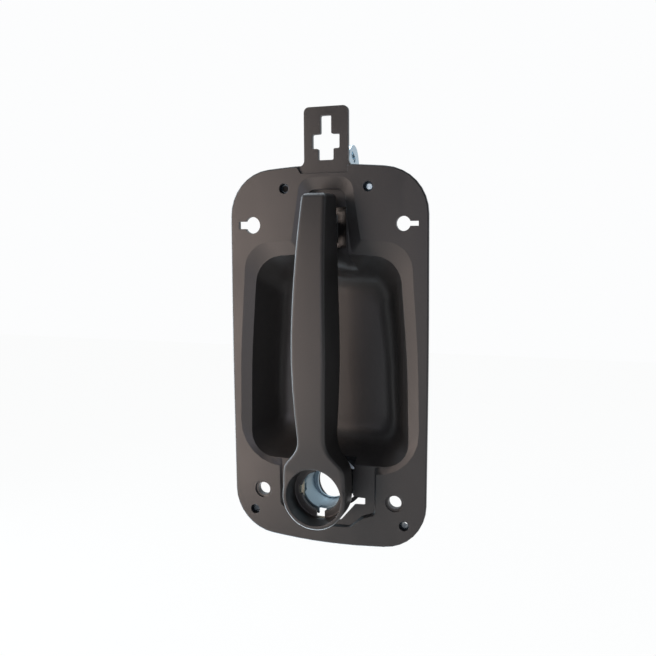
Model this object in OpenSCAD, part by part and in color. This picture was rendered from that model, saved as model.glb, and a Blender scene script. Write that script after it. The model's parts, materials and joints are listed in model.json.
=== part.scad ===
// Exterior pull handle for a vehicle door: a moulded bezel with a hand cup, a bow grip that swings
// out on two pivot pins at its lower end, and a release lever that the grip's top end works.
// X is to the right, +Y goes into the door and +Z is up, in millimetres. The origin is at the
// middle of the flange's back face, which seats on the door skin.

/* [Flange] */
// Width of the flange at its middle
flange_w = 144.6; // [142:0.2:160]
// Height of the flange at its middle
flange_h = 270; // [262:1:290]
// Thickness of the flange
flange_t = 3; // [2.6:0.1:3.6]
// Radius of the flange's corners
flange_corner_r = 32.5; // [24:0.5:34]
// Rounding of the flange's front edge
flange_edge = 0.8; // [0.3:0.1:1.2]
// Height of the hanging tab above the flange's middle
tab_rise = 38.6; // [36:0.2:44]
// Width of the hanging tab
tab_w = 31.8; // [29:0.2:36]
// Thickness of the hanging tab
tab_t = 3; // [2.4:0.1:4]

/* [Cup] */
// Height of the cup's top edge above the origin
cup_top = 74.6; // [72:0.2:76]
// Height of the cup's bottom edge
cup_bottom = -74.6; // [-76:0.2:-72]
// Width of the cup's mouth at its top corners
cup_w_top = 104.4; // [98:0.2:108]
// Width of the cup's mouth at its bottom corners
cup_w_low = 118.6; // [114:0.2:122]
// Depth of the cup behind the flange's face
cup_depth = 30; // [26:0.5:36]
// Wall of the moulding behind the flange
wall = 2.5; // [2:0.1:3]
// Width of the dished band at the cup's sides
dish_w = 8; // [6:0.2:8.4]
// Depth of the dished band
dish_depth = 1.9; // [1.2:0.1:2.1]

/* [Channel] */
// Height of the channel's end, over the grip's top
channel_top = 118; // [116.5:0.5:120]
// Width of the channel at its end
channel_w = 26.6; // [24:0.2:28]
// Depth of the channel's ledge behind the flange's face
channel_depth = 8; // [6:0.5:9]
// Width of the well below the channel's ledge
well_w = 24.8; // [22:0.2:25]
// Depth of the well behind the flange's face
well_depth = 17; // [15:0.5:18]
// Top of the slot for the actuator arm
slot_top = 100.8; // [100.4:0.2:102]

/* [Grip] */
// Height of the grip's top end
grip_top = 114.3; // [112:0.1:115.5]
// How far the grip's face stands in front of the flange at its highest
grip_stand = 39; // [36:0.5:44]
// Where along its height the grip is fullest
grip_mid = 10; // [0:1:20]
// Radius of the grip's long bow
grip_bow_r = 380; // [340:5:430]
// Width of the grip's face at its fullest
grip_w = 24; // [21:0.5:27]
// Width of the grip's face at its top end
grip_w_top = 17; // [15:0.2:18]
// Width of the grip's face at its neck
grip_w_neck = 19.8; // [18:0.2:21]
// Gap between the grip's back and the flange's face
grip_gap = 7; // [5:0.5:9]
// How far the grip's back leans towards the door at the top
back_lean = 4.5; // [2:0.5:5]
// Wall of the grip's shell
grip_wall = 2.6; // [2.2:0.1:3]
// Play between the grip's shell and its back cover
cover_play = 0.06; // [0.03:0.01:0.1]

/* [Lock ring] */
// Height of the ring's centre
ring_z = -91.3; // [-92.5:0.1:-90.5]
// Outer radius of the ring's face
ring_r = 22.7; // [22:0.1:24]
// Radius of the ring's front recess
recess_r = 19.8; // [19:0.1:20.2]
// Depth of the ring's front recess
recess_depth = 15; // [13:0.5:16]
// Radius of the hole in the ring's back wall
ring_hole_r = 14.2; // [13.6:0.1:14.6]
// Thickness of the ring's back wall
ring_wall = 2.6; // [2:0.1:3]
// Radius of the bore that carries the lock cylinder
lock_r = 13.4; // [12.8:0.1:13.8]

/* [Hinge] */
// Height of the hinge axis above the ring's centre
hinge_up = 2.3; // [0:0.1:4]
// Depth of the hinge axis behind the flange's back face
hinge_y = 6; // [5.5:0.1:6.5]
// Radius of the pivot pins
pin_r = 3; // [2.5:0.1:3.2]
// Running clearance round a pin
run_fit = 0.05; // [0.03:0.01:0.08]
// Swing of the grip in degrees
grip_swing = 8; // [6:0.5:8]
// Thickness of the sheet metal brackets
plate_t = 2.5; // [2:0.1:3]

/* [Release lever] */
// Depth of the lever's pivot behind the flange's back face
lever_y = 34; // [32:0.5:36]
// Height of the lever's pivot
lever_z = 122; // [120:0.5:124]
// Turn of the lever over the grip's full swing in degrees
lever_turn = 38.4; // [36:0.4:41]
// Depth of the actuator pin behind the flange's back face
drive_y = 32; // [30:0.5:33]
// Height of the actuator pin
drive_z = 90; // [88:0.5:92]
// Thickness of the lever's arms
lever_t = 3; // [2.4:0.1:3.4]
// Radius of the lever's eye
eye_r = 11.5; // [10:0.5:13]

/* [Fixings] */
// Distance of the keyholes from the middle
keyhole_x = 54.9; // [52:0.1:57]
// Height of the keyholes
keyhole_z = 94; // [90:0.5:98]
// Distance of the lower fixing holes from the middle
fixing_x = 49.6; // [47:0.1:52]
// Height of the lower fixing holes
fixing_z = -99.3; // [-102:0.1:-97]
// Radius of the lower fixing holes
fixing_r = 4.8; // [4:0.1:5.2]
// Radius of the threaded inserts
insert_r = 3.6; // [3.3:0.1:4]
// Length of the threaded inserts
insert_len = 7; // [6:0.5:9]

/* [Hidden] */

eps = 0.02;
over = 1;
round_fn = 48;
face_y = -flange_t;
bezel_black = [0.16, 0.15, 0.15];
grip_black = [0.2, 0.18, 0.17];
zinc = [0.75, 0.82, 0.88];
cream = [0.93, 0.87, 0.66];
bronze = [0.72, 0.58, 0.36];
rubber = [0.1, 0.1, 0.1];

// Outlines. A vertex is [across, up, radius, segments], and each outline runs anticlockwise.
function unit(a) = a / norm(a);
function corner_points(before, at, after, r, segments) =
    let (a = unit(before - at),
         b = unit(after - at),
         half = acos(a * b) / 2,
         reach = 0.49 * min(norm(before - at), norm(after - at)),
         rr = min(r, reach * tan(half)),
         centre = at + unit(a + b) * rr / sin(half),
         s = at + a * rr / tan(half) - centre,
         e = at + b * rr / tan(half) - centre,
         from = atan2(s[1], s[0]),
         turn = atan2(s[0] * e[1] - s[1] * e[0], s * e))
    [for (i = [0:segments]) centre + rr * [cos(from + turn * i / segments), sin(from + turn * i / segments)]];
function xy(v) = [v[0], v[1]];
function rounded(vertices) =
    let (n = len(vertices))
    [for (i = [0:n - 1])
        each corner_points(xy(vertices[(i + n - 1) % n]), xy(vertices[i]), xy(vertices[(i + 1) % n]),
                           vertices[i][2], vertices[i][3])];
// The whole of an outline from its right half, which runs from the top to the bottom
function both_sides(half) = concat([for (i = [len(half) - 1:-1:0]) half[i]],
                                   [for (v = half) if (v[0] > eps) [-v[0], v[1], v[2], v[3]]]);
function at_y(outline, y) = [for (p = outline) [p[0], y, p[1]]];
function at_z(outline, z) = [for (p = outline) [p[0], p[1], z]];
function turned(p, degrees) = [p[0] * cos(degrees) - p[1] * sin(degrees),
                               p[0] * sin(degrees) + p[1] * cos(degrees)];

// A solid through rings of equal length, which follow each other along +Y or down Z
module loft(rings) {
    n = len(rings[0]);
    last = len(rings) - 1;
    polyhedron(
        points = [for (ring = rings) each ring],
        faces = concat(
            [[for (i = [n - 1:-1:0]) i]],
            [for (k = [0:last - 1]) for (i = [0:n - 1])
                [k * n + i, k * n + (i + 1) % n, (k + 1) * n + (i + 1) % n, (k + 1) * n + i]],
            [[for (i = [0:n - 1]) last * n + i]]),
        convexity = 8);
}
// A plate with an outline in X and Z, from one depth to another
module plate_y(y0, y1) {
    translate([0, y1, 0]) rotate([90, 0, 0]) linear_extrude(y1 - y0) children();
}
// A plate with an outline in Y and Z, from one x to another
module plate_x(x0, x1) {
    translate([x0, 0, 0]) rotate([90, 0, 90]) linear_extrude(x1 - x0) children();
}
module rod_y(x, z, r, y0, y1) {
    translate([x, y0, z]) rotate([-90, 0, 0]) cylinder(h = y1 - y0, r = r, $fn = round_fn);
}
module rod_x(y, z, r, x0, x1) {
    translate([x0, y, z]) rotate([0, 90, 0]) cylinder(h = x1 - x0, r = r, $fn = round_fn);
}
module box(low, high) {
    translate(low) cube(high - low);
}
// A round wire along a path, in eight flats
module wire(path, r) {
    sides = 8;
    last = len(path) - 1;
    loft([for (i = [0:last])
        let (ahead = unit(path[min(i + 1, last)] - path[max(i - 1, 0)]),
             side = unit(cross(ahead, abs(ahead[0]) > 0.9 ? [0, 0, 1] : [1, 0, 0])),
             up = cross(side, ahead))
        [for (j = [0:sides - 1])
            path[i] + r * (cos(-360 * j / sides) * side + sin(-360 * j / sides) * up)]]);
}

// Bezel
end_rise = 6.4;
side_bow_r = 8000;
end_bow_r = 460;
function flange_outline(inset) = rounded(both_sides([
    [0, flange_h / 2 + 1.3 - inset, end_bow_r, 6],
    [flange_w / 2 - 0.7 - inset, flange_h / 2 + 1.3 - end_rise - inset, flange_corner_r - inset, 8],
    [flange_w / 2 + 0.3 - inset, 0, side_bow_r, 4],
    [flange_w / 2 - 0.7 - inset, -flange_h / 2 - 1.3 + end_rise + inset, flange_corner_r - inset, 8],
    [0, -flange_h / 2 - 1.3 + inset, end_bow_r, 6]]));

cup_corner_top = 20;
cup_corner_low = 18;
cup_end_slope = 3.2;
// The cup's section, drawn in by side_in at its sides and by end_in at its ends
function cup_outline(side_in, end_in, soften) = rounded(both_sides([
    [0, cup_top - end_in * top_lean, 260, 3],
    [cup_w_top / 2 - side_in, cup_top - cup_end_slope - end_in * top_lean, cup_corner_top - soften, 6],
    [(0.36 * cup_w_top + 0.64 * cup_w_low) / 2 + 1.1 - side_in, 0, 700, 3],
    [cup_w_low / 2 - side_in, cup_bottom + end_in, cup_corner_low - soften, 6],
    [0, cup_bottom - 0.5 + end_in, 2000, 2]]));
floor_y = face_y + cup_depth;
rim_y = face_y + dish_depth;
side_draft = tan(29);
end_draft = tan(30);
top_lean = 1.3;
floor_fillet = 11;
// The cup's inner form as [side_in, end_in, soften, y], and its outer form a wall away
function cup_form(out) =
    let (deep = cup_depth - dish_depth - floor_fillet,
         a = deep * side_draft, b = deep * end_draft, f = floor_fillet)
    [[-out, -out, -out / 2, rim_y],
     [a - out, b - out, 4 - out / 2, rim_y + deep],
     [a + 0.18 * f - out * 0.95, b + 0.22 * f - out * 0.95, 5, rim_y + deep + 0.42 * f + out * 0.2],
     [a + 0.5 * f - out * 0.75, b + 0.6 * f - out * 0.75, 7, rim_y + deep + 0.78 * f + out * 0.6],
     [a + 0.9 * f - out * 0.4, b + f - out * 0.4, 9, rim_y + deep + 0.95 * f + out * 0.9],
     [a + 1.3 * f, b + 1.4 * f, 10, floor_y + out]];
module cup_block(out, lead) {
    form = cup_form(out);
    first = form[0];
    slope_back = lead / (form[1][3] - first[3]);
    loft(concat(
        [at_y(cup_outline(first[0] - (form[1][0] - first[0]) * slope_back,
                          first[1] - (form[1][1] - first[1]) * slope_back, first[2]), first[3] - lead)],
        [for (s = form) at_y(cup_outline(s[0], s[1], s[2]), s[3])]));
}

dish_top = 8.4;
dish_low = 5.8;
channel_lip = 8.6;
channel_foot_w = 33.4;
// Outer edge of the dished band, which also runs round the channel, grown by out
function dish_outline(out) = rounded(both_sides([
    [0, channel_top + channel_lip + out, 200, 2],
    [channel_w / 2 + 5.4 + out, channel_top + channel_lip - 1 + out, 9, 5],
    [channel_w / 2 + 8.4 + out, channel_top - 12, 70, 3],
    [channel_foot_w / 2 + 8.6 + out, cup_top + dish_top + out, 2, 2],
    [cup_w_top / 2 + dish_w + out, cup_top + dish_top - 2 + out, 24, 6],
    [(0.36 * cup_w_top + 0.64 * cup_w_low) / 2 + dish_w + 1 + out, 0, 700, 3],
    [cup_w_low / 2 + dish_w + out, cup_bottom - dish_low - out, 32, 6],
    [0, cup_bottom - dish_low - 0.4 - out, 2000, 2]]));
// Inner edge of the band, where the channel and the cup begin
function mouth_outline(out) = rounded(both_sides([
    [0, channel_top + 0.3 + out, 200, 2],
    [channel_w / 2 + out, channel_top - 0.2 + out, 5.5, 5],
    [channel_w / 2 + 1.7 + out, channel_top - 20, 70, 3],
    [channel_foot_w / 2 + 1.4 + out, cup_top + out, 3, 2],
    [cup_w_top / 2 + out, cup_top - cup_end_slope + out, cup_corner_top, 6],
    [(0.36 * cup_w_top + 0.64 * cup_w_low) / 2 + 1.1 + out, 0, 700, 3],
    [cup_w_low / 2 + out, cup_bottom - out, cup_corner_low, 6],
    [0, cup_bottom - 0.5 - out, 2000, 2]]));
function channel_outline(out) = rounded(both_sides([
    [0, channel_top + 0.3 + out, 200, 2],
    [channel_w / 2 + out, channel_top - 0.2 + out, 5.5, 5],
    [channel_w / 2 + 1.7 + out, channel_top - 20, 70, 3],
    [channel_foot_w / 2 + out, cup_top - 12, 1, 1]]));
ledge_y = face_y + channel_depth;
well_y = face_y + well_depth;
well_top = 106;
well_bottom = 78;
slot_bottom = 81.5;
cheek_sweep_top = 115;

pocket_w = 73;
pocket_top = -77.5;
pocket_step = -110;
pocket_depth = 1.7;
function pocket_outline(out) = rounded(both_sides([
    [pocket_w / 2 + out, pocket_top + 4, 2, 2],
    [pocket_w / 2 - 0.3 + out, pocket_step - out, 4, 4],
    [27.5 + out, pocket_step - 3 - out, 5, 3],
    [17, pocket_step - 11 - out, 6, 3],
    [0, pocket_step - 12 - out, 5, 2]]));
opening_left = -22.5;
opening_right = 28;
opening_top = -77.6;
opening_low = -103.6;
opening_foot = -116.8;
web_left = 18.9;
web_low = -98;
function opening_outline() = rounded([
    [opening_left, opening_top, 3, 3],
    [opening_left, opening_low, 2, 2],
    [-10.5, opening_foot, 2.5, 3],
    [9.6, opening_foot, 2.5, 3],
    [20.4, opening_low - 0.4, 1.2, 2],
    [opening_right, opening_low, 1.2, 2],
    [opening_right, web_low, 0.8, 2],
    [web_left, web_low, 0.8, 2],
    [web_left, opening_top, 2, 3]]);

tab_step = 2;
tab_y = face_y + tab_step;
tab_top = flange_h / 2 + tab_rise;
tab_foot = 124;
cross_z = 150.3;
function tab_outline() = rounded(both_sides([
    [tab_w / 2, tab_top, 3.6, 5],
    [tab_w / 2, flange_h / 2 - 1, 5.5, 5],
    [tab_w / 2 + 8, flange_h / 2 - 1.6, 0.5, 1],
    [tab_w / 2 + 8, tab_foot, 2, 2]]));
function cross_outline() = rounded(both_sides([
    [3.9, cross_z + 17.2, 1, 3],
    [3.9, cross_z + 4.9, 1, 3],
    [9.8, cross_z + 4.7, 1, 3],
    [9.8, cross_z - 4.8, 1, 3],
    [5.5, cross_z - 4.9, 1, 3],
    [5.5, cross_z - 12.6, 1, 3]]));

keyhole_r = [5.9, 5];
keyhole_slot = [2.6, 1.6];
keyhole_reach = 10.4;
boss_wall = 2.4;
upper_x = 30.5;
upper_z = 119.1;
lower_x = 56.5;
lower_z = -115.4;
insert_seats = [[-upper_x, upper_z], [upper_x, upper_z], [-lower_x, lower_z], [lower_x, lower_z]];
insert_window_r = 3.5;
insert_set = 1;
boss_end = insert_len;
hinge_z = ring_z + hinge_up;
bracket_y = 14;
bracket_boss_r = 5;
bracket_x = 36;
bracket_up = 10;
bracket_down = 8;
bracket_relief = 0.4;
bracket_seats = [for (side = [-1, 1]) for (z = [ring_z + bracket_up, ring_z - bracket_down]) [side * bracket_x, z]];
screw_r = 2.1;

module bezel() {
    color(bezel_black) difference() {
        union() {
            loft([at_y(flange_outline(flange_edge), face_y),
                  at_y(flange_outline(flange_edge * 0.3), face_y + flange_edge * 0.4),
                  at_y(flange_outline(0), face_y + flange_edge),
                  at_y(flange_outline(0), 0)]);
            cup_block(wall, 0);
            plate_y(face_y + 1, ledge_y + wall) polygon(channel_outline(wall));
            box([-well_w / 2 - wall, ledge_y, well_bottom - wall],
                [well_w / 2 + wall, well_y + wall, well_top + wall]);
            plate_y(tab_y, tab_y + tab_t) polygon(tab_outline());
            for (seat = insert_seats)
                rod_y(seat[0], seat[1], insert_r + boss_wall, -over, boss_end);
            for (seat = bracket_seats)
                rod_y(seat[0], seat[1], bracket_boss_r, -over, bracket_y);
            for (side = [-1, 1])
                rod_y(side * fixing_x, fixing_z, fixing_r + 3, -over, 3);
            flange_ribs();
        }
        loft([at_y(dish_outline(1), face_y - dish_depth),
              at_y(dish_outline(0), face_y),
              at_y(mouth_outline(0), rim_y)]);
        cup_block(0, 0.4);
        plate_y(rim_y - 0.3, ledge_y) polygon(channel_outline(0));
        box([-well_w / 2, rim_y, well_bottom], [well_w / 2, well_y, well_top]);
        box([slot_left, rim_y, slot_bottom], [slot_right, well_y + wall + over, slot_top]);
        box([slot_left, ledge_y + wall + 0.2, well_bottom],
            [0.9 - cheek_in, well_y + wall + over, cheek_sweep_top]);
        for (side = [-1, 1])
            box([side > 0 ? web_left - 1 : -31, -bracket_relief, hinge_z - 10],
                [side > 0 ? 31 : opening_left + 1, over, hinge_z + 9.5]);
        loft([at_y(pocket_outline(0.8), face_y - pocket_depth),
              at_y(pocket_outline(0), face_y),
              at_y(pocket_outline(-1.4), face_y + pocket_depth)]);
        plate_y(face_y - over, over) polygon(opening_outline());
        box([-20, face_y - over, opening_top - 1], [20, 8, cup_bottom + 3.4]);
        plate_y(face_y - over, tab_y)
            polygon([[-tab_w / 2 - 2.2, tab_foot + 5], [tab_w / 2 + 0.3, tab_foot + 5],
                     [tab_w / 2 + 0.3, tab_top + 5], [-tab_w / 2 - 5.4, tab_top + 5],
                     [-tab_w / 2 - 5.4, tab_foot + 10.5]]);
        plate_y(tab_y - over, tab_y + tab_t + over) polygon(cross_outline());
        for (i = [0, 1]) keyhole(i);
        for (side = [-1, 1]) {
            rod_y(side * fixing_x, fixing_z, fixing_r, face_y - over, 3 + over);
            rod_y(side * fixing_x, fixing_z, fixing_r + 1.7, face_y - over, face_y + 1.2);
        }
        for (seat = insert_seats) {
            rod_y(seat[0], seat[1], insert_window_r, face_y - over, over);
            rod_y(seat[0], seat[1], insert_r, boss_end - insert_len - insert_set, boss_end + over);
        }
        for (seat = bracket_seats)
            rod_y(seat[0], seat[1], screw_r, bracket_y - 9, bracket_y + over);
    }
}
// A keyhole with its slot outwards; the right one's slot narrows
module keyhole(i) {
    side = [-1, 1][i];
    r = keyhole_r[i];
    half = keyhole_slot[i];
    rod_y(side * keyhole_x, keyhole_z, r, face_y - over, over);
    box([min(side * keyhole_x, side * (keyhole_x + keyhole_reach)), face_y - over, keyhole_z - half],
        [max(side * keyhole_x, side * (keyhole_x + keyhole_reach)), over, keyhole_z + half]);
}
// Stiffening ribs from the cup's walls to the flange, behind it
module flange_ribs() {
    for (side = [-1, 1]) for (z = [-50, -16, 18, 50])
        plate_z(z - 0.9, z + 0.9) polygon([[side * 50, -1], [side * (flange_w / 2 - 4), -1],
                                           [side * (flange_w / 2 - 4), 1.2], [side * 51, 13]]);
}
module plate_z(z0, z1) {
    translate([0, 0, z0]) linear_extrude(z1 - z0) children();
}

module threaded_inserts() {
    color(zinc) for (seat = insert_seats)
        difference() {
            union() {
                rod_y(seat[0], seat[1], insert_r, boss_end - insert_len, boss_end);
                rod_y(seat[0], seat[1], insert_r + 1.2, boss_end, boss_end + 0.8);
            }
            rod_y(seat[0], seat[1], screw_r + run_fit, -over, boss_end + over + 1);
        }
}

// Grip
grip_back = face_y - grip_gap;
ring_face = grip_face(ring_z + ring_r * 0.7);
ring_back = ring_face + recess_depth + ring_wall;
// The head between the neck and the ring, as [height above the ring's centre, share of the way
// from the neck's width to the ring's, share of the way from the grip's back to the ring's]
head = [[41.3, 0, 0], [37.3, 0.025, 0.04], [33.3, 0.133, 0.3], [29.8, 0.308, 0.7], [26.3, 0.55, 1],
        [23.8, 0.733, 1], [21.3, 0.875, 1], [18.8, 0.95, 1], [15.3, 0.983, 1], [10.3, 1, 1], [4, 1, 1]];
neck_z = ring_z + head[0][0];
side_flare = tan(2.3);
function grip_face(z) = face_y - grip_stand + pow(z - grip_mid, 2) / (2 * grip_bow_r);
// The grip's back, which leans towards the door near the top
function grip_rear(z) = grip_back + back_lean * pow(max(0, z - 30) / (grip_top - 30), 2);
function grip_half(z) =
    z > grip_mid
        ? grip_w / 2 - (grip_w - grip_w_top) / 2 * pow((z - grip_mid) / (grip_top - grip_mid), 1.3)
        : grip_w / 2 - (grip_w - grip_w_neck) / 2 * pow((grip_mid - z) / (grip_mid - neck_z), 1.5);
function grip_section(half, front, back) =
    let (b = half + (back - front) * side_flare)
    rounded([[-half, front, 2.4, 3], [half, front, 2.6, 3], [b, back, 2, 2], [-b, back, 2, 2]]);
grip_end_r = 3;
module grip_body() {
    ends = [[0, 1], [0.2, 0.4], [0.55, 0.1], [1, 0]];
    spine = [for (i = [1:9]) grip_top - grip_end_r - (grip_top - grip_end_r - neck_z) * i / 9];
    loft(concat(
        [for (e = ends)
            let (z = grip_top - e[0] * grip_end_r, in = e[1] * grip_end_r)
            at_z(grip_section(grip_half(z) - in * 0.9, grip_face(z) + in, grip_rear(z) - in * 0.6), z)],
        [for (z = spine) at_z(grip_section(grip_half(z), grip_face(z), grip_rear(z)), z)],
        [for (i = [1:len(head) - 1])
            let (z = ring_z + head[i][0],
                 half = grip_w_neck / 2 + (ring_r - 0.4 - grip_w_neck / 2) * head[i][1])
            at_z(grip_section(half, min(grip_face(z), ring_face),
                              grip_back + (ring_back - grip_back) * head[i][2]), z)]));
}
cover_top = 74;
cover_low = -48;
function hollow_section(z, back) =
    let (f = grip_half(z) - grip_wall,
         front = grip_face(z) + grip_wall,
         b = grip_half(z) + (back - front) * side_flare - grip_wall)
    rounded([[-f, front, 1, 1], [f, front, 1, 1], [b, back, 0.3, 1], [-b, back, 0.3, 1]]);
module grip_hollow() {
    top = foot_top + 0.2;
    low = cover_low - 0.2;
    loft([for (i = [0:9]) let (z = top - (top - low) * i / 9)
        at_z(hollow_section(z, grip_rear(z) + over), z)]);
}
notch_w = 6.4;
notch_side = 15.7;
notch_low = 20.4;
module grip_shell() {
    color(grip_black) difference() {
        union() {
            difference() {
                grip_body();
                grip_hollow();
                rod_y(0, ring_z, recess_r + 1, ring_face - 2 * over, 0);
            }
            translate([0, ring_face, ring_z]) rotate([-90, 0, 0]) {
                cylinder(h = 1, r1 = ring_r - 1, r2 = ring_r, $fn = 72);
                translate([0, 0, 1]) cylinder(h = recess_depth + ring_wall - 1, r1 = ring_r,
                                              r2 = ring_r - 0.3, $fn = 72);
            }
            posts();
        }
        translate([0, ring_face - over, ring_z]) rotate([-90, 0, 0])
            cylinder(h = recess_depth + over, r1 = recess_r + 0.1, r2 = recess_r - 0.8, $fn = 72);
        rod_y(0, ring_z, ring_hole_r, ring_face, ring_back + over);
        for (turn = [0, 90, 180, 270]) translate([0, 0, ring_z]) rotate([0, turn, 0])
            box([0, ring_face + recess_depth - 0.1, -notch_w / 2],
                [turn == 90 ? notch_low : notch_side, ring_back + over, notch_w / 2]);
        for (z = concat(cover_screw_z, arm_screw_z))
            rod_y(0, z, small_screw_r, grip_rear(z) - 12.5, grip_rear(z) + over);
        for (seat = housing_seats)
            rod_y(seat[0], seat[1], small_screw_r, ring_back - ring_wall + 0.6, ring_back + over);
    }
}
small_screw_r = 1.6;
small_head_r = 2.9;
small_head_t = 1.2;
cover_t = 2.4;
cover_screw_z = [64, 8, -40];
post_r = 3.6;
foot_t = 3;
foot_top = 111;
arm_screw_z = [104.5, 78.6];
housing_seats = [[-12.6, ring_z + 12.6], [12.6, ring_z + 12.6]];
// Screw posts inside the shell, cut where the cover and the arm's foot seat on them
module posts() {
    difference() {
        for (z = concat(cover_screw_z, arm_screw_z))
            rod_y(0, z, post_r, grip_face(z) + grip_wall - over, grip_rear(z) - 1.6);
        back_lid(cover_top + 1, cover_low, cover_t, 0.8, 8);
        back_lid(foot_top, cover_top + 0.3, foot_t, 0.8, 4);
    }
}
// A lid in the shell's open back between two heights, drawn in from the walls by play
module back_lid(high, low, thick, play, count) {
    loft([for (i = [0:count])
        let (z = high - (high - low) * i / count,
             rear = grip_rear(z),
             front = rear - thick,
             f = grip_half(z) + (front - grip_face(z) - grip_wall) * side_flare - grip_wall - play,
             b = grip_half(z) + (rear - grip_face(z) - grip_wall) * side_flare - grip_wall - play)
        at_z([[-f, front], [f, front], [b, rear], [-b, rear]], z)]);
}
// A screw sunk into a lid of some thickness, and its seat in the lid
module cover_screw(z, length) {
    seat = grip_rear(z) - small_head_t - 0.3;
    rod_y(0, z, small_screw_r - run_fit, seat - length, seat + 0.5);
    difference() {
        rod_y(0, z, small_head_r, seat, seat + small_head_t);
        rod_y(0, z, 1.1, seat + 0.6, seat + small_head_t + over);
    }
}
module cover_screw_seat(z, thick) {
    rod_y(0, z, small_screw_r + 0.3, grip_rear(z) - thick - over, grip_rear(z) + over);
    rod_y(0, z, small_head_r + 0.2, grip_rear(z) - small_head_t - 0.3, grip_rear(z) + 4);
}
module grip_back_cover() {
    color(grip_black) difference() {
        back_lid(cover_top, cover_low, cover_t, cover_play, 8);
        for (z = cover_screw_z) cover_screw_seat(z, cover_t);
    }
}
module grip_cover_screws() {
    color(zinc) for (z = cover_screw_z) cover_screw(z, cover_t + 6);
}

// Lock housing, hinge and its bracket
housing_y = ring_back + 2.6;
housing_end = 10;
housing_r = lock_r + 1.8;
housing_rim_r = 18.2;
cheek_x = 18.5;
bush_wall = 1.5;
bush_in = 14;
bush_flange_t = 1;
module lock_housing() {
    color(zinc) difference() {
        union() {
            rod_y(0, ring_z, housing_r, housing_y, housing_end);
            rod_y(0, ring_z, housing_rim_r, housing_y, housing_y + 1.6);
            box([-cheek_x, hinge_y - 7, hinge_z - 7.5], [cheek_x, housing_end, hinge_z + 7.5]);
            box([8.4, hinge_y - 0.7, hinge_z + 7], [11.6, hinge_y + 1.6, hinge_z + 16]);
            for (seat = housing_seats) {
                rod_y(seat[0], seat[1], 4, ring_back + eps, housing_y + 3);
                box([min(0, seat[0]), housing_y, seat[1] - 8], [max(0, seat[0]), housing_y + 3, seat[1] + 2]);
            }
        }
        rod_y(0, ring_z, lock_r, housing_y - over - 3, housing_end - 2);
        intersection() {
            rod_y(0, ring_z, lock_r - 0.8, housing_end - 3, housing_end + over);
            rod_y(4.2, ring_z - 1, 15, housing_end - 3, housing_end + over);
        }
        for (side = [-1, 1])
            rod_x(hinge_y, hinge_z, pin_r + run_fit + bush_wall,
                  side > 0 ? bush_in - 0.1 : -cheek_x - over, side > 0 ? cheek_x + over : 0.1 - bush_in);
        box([-housing_r - over, housing_y - over, ring_z - 2.8], [0, housing_y + 3.4, ring_z + 2.8]);
        box([-2.8, housing_y - over, ring_z - housing_rim_r - over], [2.8, housing_y + 3.4, ring_z]);
        for (seat = housing_seats)
            union() {
                rod_y(seat[0], seat[1], small_screw_r + 0.3, ring_back - over, housing_y + 3 + over);
                rod_y(seat[0], seat[1], 3.5, housing_y + 3, housing_y + 5.3);
            }
    }
}
module lock_housing_screws() {
    color(zinc) for (seat = housing_seats) {
        rod_y(seat[0], seat[1], small_screw_r - run_fit, ring_back - ring_wall + 0.9, housing_y + 3.5);
        difference() {
            rod_y(seat[0], seat[1], 3.2, housing_y + 3, housing_y + 5);
            rod_y(seat[0], seat[1], 1.3, housing_y + 4, housing_y + 6);
        }
    }
}
// A nylon fork behind the ring's back wall: its legs pass the notches and hold the lock cylinder
clip_leg = 1.5;
clip_half = lock_r + 0.15 + clip_leg;
clip_top = ring_z + 7.4;
clip_foot = ring_z - recess_r - 1.4;
module lock_retaining_clip() {
    color(cream) plate_y(ring_back + 0.1, housing_y - 0.2) difference() {
        polygon(rounded([[-clip_half, clip_foot, 6, 4], [clip_half, clip_foot, 6, 4],
                         [clip_half, clip_top, 0.6, 2], [-clip_half, clip_top, 0.6, 2]]));
        polygon(rounded([[clip_leg - clip_half, clip_foot + clip_leg, 5, 4],
                         [clip_half - clip_leg, clip_foot + clip_leg, 5, 4],
                         [clip_half - clip_leg, clip_top + over, 0.3, 1],
                         [clip_leg - clip_half, clip_top + over, 0.3, 1]]));
    }
}
module hinge_bushes() {
    color(bronze) for (side = [-1, 1]) mirror([side < 0 ? 1 : 0, 0, 0]) difference() {
        union() {
            rod_x(hinge_y, hinge_z, pin_r + run_fit + bush_wall - 0.02, bush_in, cheek_x);
            rod_x(hinge_y, hinge_z, pin_r + run_fit + bush_wall + 1.2, cheek_x, cheek_x + bush_flange_t);
        }
        rod_x(hinge_y, hinge_z, pin_r + run_fit, bush_in - over, cheek_x + over + bush_flange_t);
    }
}
ear_in = 25;
ear_out = ear_in + plate_t;
module hinge_bracket() {
    hole_x = 3.5;
    hole_z = ring_z - 2;
    color(zinc) difference() {
        union() {
            plate_y(bracket_y, bracket_y + plate_t)
                polygon(rounded(both_sides([
                    [bracket_x + 6, ring_z + bracket_up + 5, 3, 4],
                    [bracket_x + 6, ring_z - bracket_down - 5, 3, 4]])));
            rod_y(hole_x, hole_z, 18.4, bracket_y, bracket_y + plate_t);
            for (side = [-1, 1]) {
                x0 = side > 0 ? ear_in : -ear_out;
                rod_x(hinge_y, hinge_z, 5.2, x0, x0 + plate_t);
                box([x0, hinge_y, hinge_z - 5.2], [x0 + plate_t, bracket_y + eps, hinge_z + 5.2]);
            }
        }
        rod_y(hole_x, hole_z, 15.6, bracket_y - over, bracket_y + plate_t + over);
        for (side = [-1, 1])
            rod_x(hinge_y, hinge_z, pin_r, side > 0 ? ear_in - over : -ear_out - over,
                  side > 0 ? ear_out + over : -ear_in + over);
        for (seat = bracket_seats)
            rod_y(seat[0], seat[1], screw_r + 0.3, bracket_y - over, bracket_y + plate_t + over);
    }
}
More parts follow.
